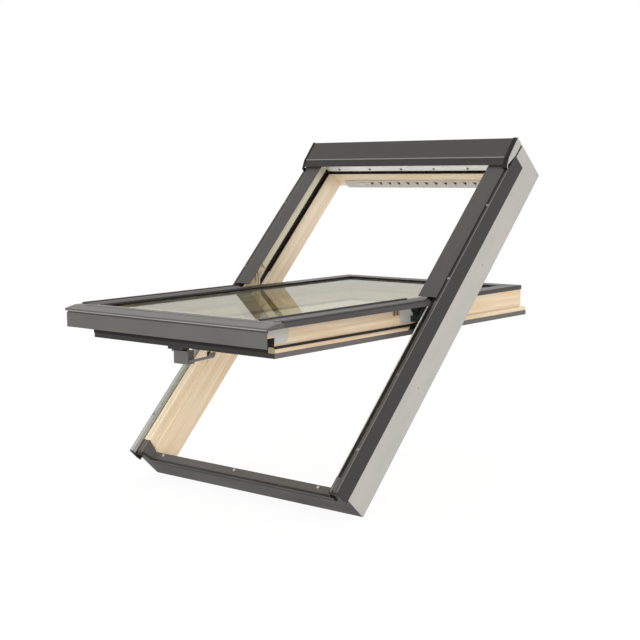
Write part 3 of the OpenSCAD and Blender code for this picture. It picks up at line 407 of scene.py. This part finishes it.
# Black of real caps and knob, also painted as the shade beside the hood's right end plate.
black_cap_and_shade = rubber("black cap and painted shade", "#0E0E0F")
hood_coat = powder_coat("coat of the hood", "#393735", roof_pitch)
dress(["top_hood"], painted_shade_band(hood_coat, roof_pitch, shaded_nose_u0, shaded_nose_u1, "#2A2827"))
dress(["left_hood_end", "right_hood_end"], bare_frame)
skin("hood_fold_highlight", drawn_out([fold_highlight_outline], fold_x0, fold_x1, ACROSS), roof_pitch, "frame", edge_highlight_coat)
for side, (start, stop) in cap_ends.items():
    skin(side + "_hood_cap", drawn_out([cap_outline], start, stop, ACROSS), roof_pitch, "frame", black_cap_and_shade)
skin("right_hood_hook", drawn_out([hook_outline], hook_x0, hook_x1, ACROSS), roof_pitch, "frame", bare_frame)


# Vent: a moulded plastic grille let into the head, with a slider behind its row of three-cornered holes.
# Black shapes laid over the holes are painted as the shade inside them, and a mesh strip closes the slot
# behind them.
vent_pitch, vent_holes = 36.0, 12
hole_half, hole_foot, hole_top = 7.5, 11.9, 24.2
# Depth of the black shapes painted as the shade in the holes.
hole_shade_u0, hole_shade_u1 = 1129.8, 1130.4
mesh_x, mesh_u0, mesh_u1, mesh_n0, mesh_n1 = 304.0, 1134.75, 1134.95, 3.0, 26.0


def moulded_plastic(name, tone, roughness):
    """Moulded plastic: even colour with a fine spark-eroded grain."""
    grain_size, cloud_size = (0.0007, 0.0007, 0.0007), (0.03, 0.03, 0.03)
    drift, gloss_drift, relief = 0.05, 0.04, 0.00005
    material, tree, shader = start_finish(name, Specular_IOR_Level=0.4)
    grain = noise_at(tree, grain_size, detail=2, roughness=0.5)
    cloud = noise_at(tree, cloud_size, detail=2, roughness=0.5)
    dull = tinted(tone, 1 - drift, 1 - drift, 1 - drift)
    tree.links.new(ramp(tree, cloud, [(0.3, dull), (0.7, colour(tone))]), shader.inputs["Base Color"])
    gloss = ramp(tree, cloud, [(0.3, roughness - gloss_drift), (0.7, roughness + gloss_drift)])
    tree.links.new(gloss, shader.inputs["Roughness"])
    add_bump(tree, shader, grain, relief, strength=0.5)
    return material


dress(["vent_grille"], moulded_plastic("vent plastic", "#C4C0B8", roughness=0.45))
# The slider is painted lighter as the highlight on its tab.
dress(["vent_slider"], moulded_plastic("slider plastic painted light as a highlight", "#DAD8D2", roughness=0.4))
hole_x = (np.arange(vent_holes) - (vent_holes - 1) / 2) * vent_pitch
hole_outline = np.array([[-hole_half, hole_top], [0.0, hole_foot], [hole_half, hole_top]])
hole_shades = hole_outline + np.stack([hole_x, 0 * hole_x], 1)[:, None]
mesh_outline = [[mesh_u0, mesh_n0], [mesh_u1, mesh_n0], [mesh_u1, mesh_n1], [mesh_u0, mesh_n1]]
skin("vent_hole_shades", drawn_out(hole_shades, hole_shade_u0, hole_shade_u1, UP), roof_pitch, "frame", black_rubber_and_shade)
skin("vent_mesh", drawn_out([mesh_outline], -mesh_x, mesh_x, ACROSS), roof_pitch, "frame", black_rubber_and_shade)


# Hinge channels: curved steel channels screwed to the inner faces of the stiles, the right one zinc painted
# dark as shade and the left one coated cream. A thin rubber run is laid on the stile above each of them.
run_x, run_sink, run_rise = 344.5, 0.2, 0.3
run_n0, run_n1, run_u0, run_u1 = 73.0, 88.0, 613.0, 707.5
# The right channel is painted dark as the shade at that place.
dress(["right_hinge_channel"], bare_aluminium("channel zinc painted in shade", "#3C403C", roof_pitch))
dress(["left_hinge_channel"],
      powder_coat("cream coat of the left channel", "#CFC3A4", roof_pitch, roughness=0.5))
run_outline = np.array([[run_x - run_rise, run_n0], [run_x - run_rise, run_n1], [run_x + run_sink, run_n1],
                        [run_x + run_sink, run_n0]])
for side, flip in sides.items():
    skin(side + "_seal_run", drawn_out([run_outline * flip], run_u0, run_u1, UP), roof_pitch, "frame",
         brown_rubber)


# Sash timber: laminated pine rails and stiles, in the frame's pine made darker and warmer by a tint.
# They are bridle jointed and glued at the corners.
_, turn_y, turn_z = joints["handle_turn"]["axis"]
sash_tilt = math.atan2(-turn_y, turn_z)
sash_tint = (0.86, 0.81, 0.74)
dress(["sash_left_stile", "sash_right_stile"], pine("pine up the sash", sash_tilt, UP, sash_tint))
dress(["sash_top_rail", "sash_bottom_rail"], pine("pine across the sash", sash_tilt, ACROSS, sash_tint))


# Hinge plates of the sash: zinc plated steel, screwed to the sides of the stiles, with the rear part painted
# dark as shade where the arc runs. A rubber stop closes the end of each side seal, its black also painted as
# the shade by the stile, and two brown pins stand by it.
# Band of the plates painted dark as shade.
shaded_arc_u0, shaded_arc_u1 = 560.0, 690.0
stop_in, stop_out = 334.05, 334.9
pin_xs, pin_us = (-337, 337), (492, 505)
pin_radii, pin_levels = (1.8, 2.0, 2.0, 1.6), (99.0, 99.6, 116.2, 117.0)


def turned(middle, radii, levels, points=24):
    """A turned post standing along n: at each level a ring of that radius, by cosine and sine."""
    turn = np.linspace(0, 2 * math.pi, points, endpoint=False)
    reach, level = np.array(radii, float)[:, None], np.array(levels, float)[:, None]
    x, u = middle[0] + reach * np.cos(turn), middle[1] + reach * np.sin(turn)
    return np.stack([x, u, level + 0 * turn], -1)


plate_zinc = bare_aluminium("zinc of the sash plates", "#CBC6C3", sash_tilt)
dress(["left_hinge_arc", "right_hinge_arc"], painted_shade_band(plate_zinc, sash_tilt, shaded_arc_u0, shaded_arc_u1, "#3B423D"))
# Outline of the rubber stop, whose black also stands for the shade beside the stile.
stop_outline = [[554.0, 54.5], [640.0, 54.5], [640.0, 72.0], [572.0, 72.0]]
for side, (flip, _) in sides.items():
    skin(side + "_seal_stop", drawn_out([stop_outline], flip * stop_in, flip * stop_out, ACROSS), sash_tilt,
         "sash", black_rubber_and_shade)
pins = [turned((x, u), pin_radii, pin_levels) for x in pin_xs for u in pin_us]
skin("hinge_pins", pins, sash_tilt, "sash", moulded_plastic("brown pin", "#5A4634", roughness=0.4))


# Glazing: two panes of coated float glass held apart by an aluminium spacer bar and sealed at the edge.
# The unit is set on a rubber gasket in the rebate of the sash.
def float_glass(name):
    """Coated float glass: it mirrors little, and its body takes up light over the depth that a ray
    crosses, so it is clear face on and darker at a slant."""
    material, tree, _ = start_finish(name, Base_Color=(0.98, 0.98, 0.96, 1), Roughness=0.0, IOR=1.07,
                                     Transmission_Weight=1.0, Specular_Tint=(1.0, 1.0, 0.9, 1))
    body = add_node(tree, "VolumeAbsorption", {"Color": (0.534, 0.51, 0.248, 1), "Density": 50.0})
    tree.links.new(body.outputs["Volume"], tree.nodes["Material Output"].inputs["Volume"])
    return material


dress(["outer_pane", "inner_pane"], float_glass("float glass"))
dress(["spacer_bar"], bare_frame)
dress(["glazing_gasket"], black_rubber_and_shade)


# Sash covers: folded aluminium sheet, powder coated, clipped over the outer side of the sash.
# The wide lower ones have a rolled rim along both edges, painted dark as shade, and a rib between them,
# painted light as a highlight.
trim_foot = 130.9
rim_w, rims_at = 9.0, ((370.0, 4.5), (293.5, 4.0))
rib_x, rib_w, rib_h = 344.0, 7.0, 3.4
rib_u0, rib_u1 = 24.6, 598.0
dress(["sash_left_lower_cover", "sash_right_lower_cover", "sash_left_upper_cover", "sash_right_upper_cover",
       "sash_top_cover"], powder_coat("grey brown coat of the sash", "#403D3B", sash_tilt))
# Rims painted dark as shade and ribs painted light as a highlight.
rim_shade_coat = powder_coat("rims painted in shade", "#2A2827", sash_tilt)
rib_highlight_coat = powder_coat("ribs painted as highlight", "#6B6865", sash_tilt)
rims = np.array([bead(x, trim_foot, rim_w, height) for x, height in rims_at])
rib = bead(rib_x, trim_foot, rib_w, rib_h)
for side, flip in sides.items():
    skin(side + "_cover_rims", drawn_out(rims * flip, rib_u0, rib_u1, UP), sash_tilt, "sash", rim_shade_coat)
    skin(side + "_cover_rib", drawn_out([rib * flip], rib_u0, rib_u1, UP), sash_tilt, "sash", rib_highlight_coat)


# Bottom cover: folded coated sheet with a deep fascia, clipped over the bottom rail. A roll along the top of
# the fascia and an edge behind the band are painted bright as highlights, the band above the fascia is
# painted lighter as the light on its slope, and a black strip in its groove is painted as shade.
roll_u, roll_n, roll_w, roll_h = -32.9, 118.6, 2.6, 1.2
edge_u, edge_w, edge_h = 21.5, 4.0, 1.8
roll_x, band_x, groove_shade_x, edge_x = 373.0, 372.0, 330.0, 296.0
band_outline = [[-32.5, 123.85], [-0.2, 131.3], [19.4, 131.3], [19.4, 130.95], [0.0, 130.95], [-32.5, 123.5]]
# Outline of the black strip painted as the shade in the band's groove.
groove_shade_outline = [[-0.5, 131.1], [-0.5, 131.65], [1.6, 131.65], [1.6, 131.1]]
# A bright coat painted as the highlight on the roll and the edge.
roll_highlight_coat = powder_coat("painted highlight of rolled edges", "#83827E", sash_tilt, roughness=0.3)
dress(["sash_bottom_cover"], powder_coat("grey coat of the fascia", "#504F4C", sash_tilt))
roll_outline = bead(roll_n, 0, roll_w, roll_h)[:, ::-1] * [-1, 1] + [roll_u, 0]
edge_outline = bead(edge_u, trim_foot, edge_w, edge_h)
# The band's coat is painted lighter as the light falling on its slope.
lit_band_coat = powder_coat("band coat painted lit", "#5F5E5A", sash_tilt)
skin("fascia_roll", drawn_out([roll_outline], -roll_x, roll_x, ACROSS), sash_tilt, "sash", roll_highlight_coat)
skin("band_plate", drawn_out([band_outline], -band_x, band_x, ACROSS), sash_tilt, "sash", lit_band_coat)
skin("band_groove_shade", drawn_out([groove_shade_outline], -groove_shade_x, groove_shade_x, ACROSS), sash_tilt, "sash", black_rubber_and_shade)
skin("band_edge", drawn_out([edge_outline], -edge_x, edge_x, ACROSS), sash_tilt, "sash", roll_highlight_coat)


# Lower corners of the sash: bare metal plates screwed to its sides, and brown rubber seals in grooves.
# An olive piece folded round the right end of the bottom rail is painted as the wood there in shade.
end_n0, end_n1 = 54.3, 68.5
dress(["left_corner_plate", "right_corner_plate"], bare_aluminium("bare corner plates", "#C6C3BD", sash_tilt))
dress(["left_sash_seal", "right_sash_seal", "bottom_sash_seal"], brown_rubber)
end_corner = np.array([[318.0, 28.2], [334.7, 28.2], [334.7, 34.0], [334.1, 34.0], [334.1, 28.9],
                       [318.0, 28.9]])
end_rings = np.stack([np.insert(end_corner, 2, level, 1) for level in (end_n0, end_n1)])
# The olive piece stands for the wood of the rail's end in shade.
skin("right_rail_end_shade", [end_rings], sash_tilt, "sash",
     moulded_plastic("olive painted shade of the rail end", "#948D6C", roughness=0.5))


# Inner lip: extruded plastic profile round the room side of the sash, grey on three sides and painted dark
# below as the shade under the fascia.
# Its four lengths are mitred at the corners and clipped into a groove.
dress(["left_inner_lip", "right_inner_lip", "top_inner_lip"],
      moulded_plastic("grey lip plastic", "#5E5956", roughness=0.4))
# The bottom length is painted dark as the shade under the fascia.
dress(["bottom_inner_lip"], moulded_plastic("lip plastic painted in shade", "#1A1A15", roughness=0.4))


# Handle: a black moulded base screwed to the bottom rail, and a grey die-cast lever that turns in it.
# A black turned knob stands at the end of the lever.
knob_at = (65.0, 75.0)
knob_radii, knob_levels = (5.0, 5.0, 4.2, 2.5), (18.6, 28.5, 30.4, 31.2)
dress(["handle_base"], moulded_plastic("black handle base", "#242425", roughness=0.4))
dress(["handle_lever"], powder_coat("grey lever coat", "#5A5655", sash_tilt, roughness=0.35))
skin("lever_knob", [turned(knob_at, knob_radii, knob_levels)], sash_tilt, "lever", black_cap_and_shade)


# Studio: a pale floor, a white surround and three soft lamps, with the camera in front and to the right.
# Floor and surround are white to every ray that shows them, and the floor keeps the window's shadow.
camera_at, camera_aim = (2.4447, -2.5187, 0.8339), (-0.0352, 0.3041, 0.4324)
focal_px, frame_px, sensor = 1305.7, 640, 36.0
lamp_aim = (0, 0.3, 0.4)
lamps = [("key", (5.4, -3.4, 4.0), 3.0, 100.0),
         ("fill", (1.2, -3.8, 1.0), 2.4, 70.0),
         ("back", (-1.6, 3.0, 3.0), 2.0, 15.0)]
sky_light = 0.95
floor_half, floor_gap, floor_tone, floor_glow = 30.0, 0.002, 0.98, 0.93
scene = bpy.context.scene
scene.view_settings.view_transform = "Standard"


def look_at(thing, place, aim):
    """Puts a lamp or the camera at a place, with its -Z axis towards the aim and its top up."""
    away = Vector(place) - Vector(aim)
    thing.location = place
    thing.rotation_euler = away.to_track_quat("Z", "Y").to_euler()


def seen_directly(tree):
    """1 for the rays that show the surround: seen by the camera, in a mirror or through glass."""
    path = add_node(tree, "LightPath").outputs
    seen = path["Is Camera Ray"]
    for ray in ("Is Glossy Ray", "Is Transmission Ray"):
        seen = add_node(tree, "Math", {0: seen, 1: path[ray]}, operation="MAXIMUM").outputs[0]
    return seen


camera = bpy.data.objects.new("camera", bpy.data.cameras.new("camera"))
camera.data.sensor_width = sensor
camera.data.lens = focal_px / frame_px * sensor
look_at(camera, camera_at, camera_aim)
scene.collection.objects.link(camera)
scene.camera = camera

for name, place, size, power in lamps:
    lamp = bpy.data.objects.new(name, bpy.data.lights.new(name, "AREA"))
    lamp.data.size = size
    lamp.data.energy = power
    look_at(lamp, place, lamp_aim)
    scene.collection.objects.link(lamp)

world = bpy.data.worlds.new("surround")
world.use_nodes = True
scene.world = world
sky = world.node_tree
background = sky.nodes["Background"]
background.inputs["Color"].default_value = (1, 1, 1, 1)
strength = add_node(sky, "Math", {0: seen_directly(sky), 1: sky_light}, operation="MAXIMUM")
sky.links.new(strength.outputs[0], background.inputs["Strength"])

corners = np.array([[-1, -1], [1, -1], [1, 1], [-1, 1]]) * floor_half
levels = np.full((4, 1), cad_box[0][2] - floor_gap)
floor_mesh = bpy.data.meshes.new("floor")
floor_mesh.from_pydata(np.hstack([corners, levels]).tolist(), [], [[0, 1, 2, 3]])
floor = bpy.data.objects.new("floor", floor_mesh)
scene.collection.objects.link(floor)
pale_floor, tree, shader = start_finish("pale floor", Base_Color=(floor_tone, floor_tone, floor_tone, 1),
                                        Roughness=0.9)
glow = add_node(tree, "Emission", {"Color": (1, 1, 1, 1), "Strength": 1.0})
share = add_node(tree, "Math", {0: seen_directly(tree), 1: floor_glow}, operation="MULTIPLY")
mixed = add_node(tree, "MixShader", {0: share.outputs[0], 1: shader.outputs[0], 2: glow.outputs[0]})
tree.links.new(mixed.outputs[0], tree.nodes["Material Output"].inputs["Surface"])
floor_mesh.materials.append(pale_floor)
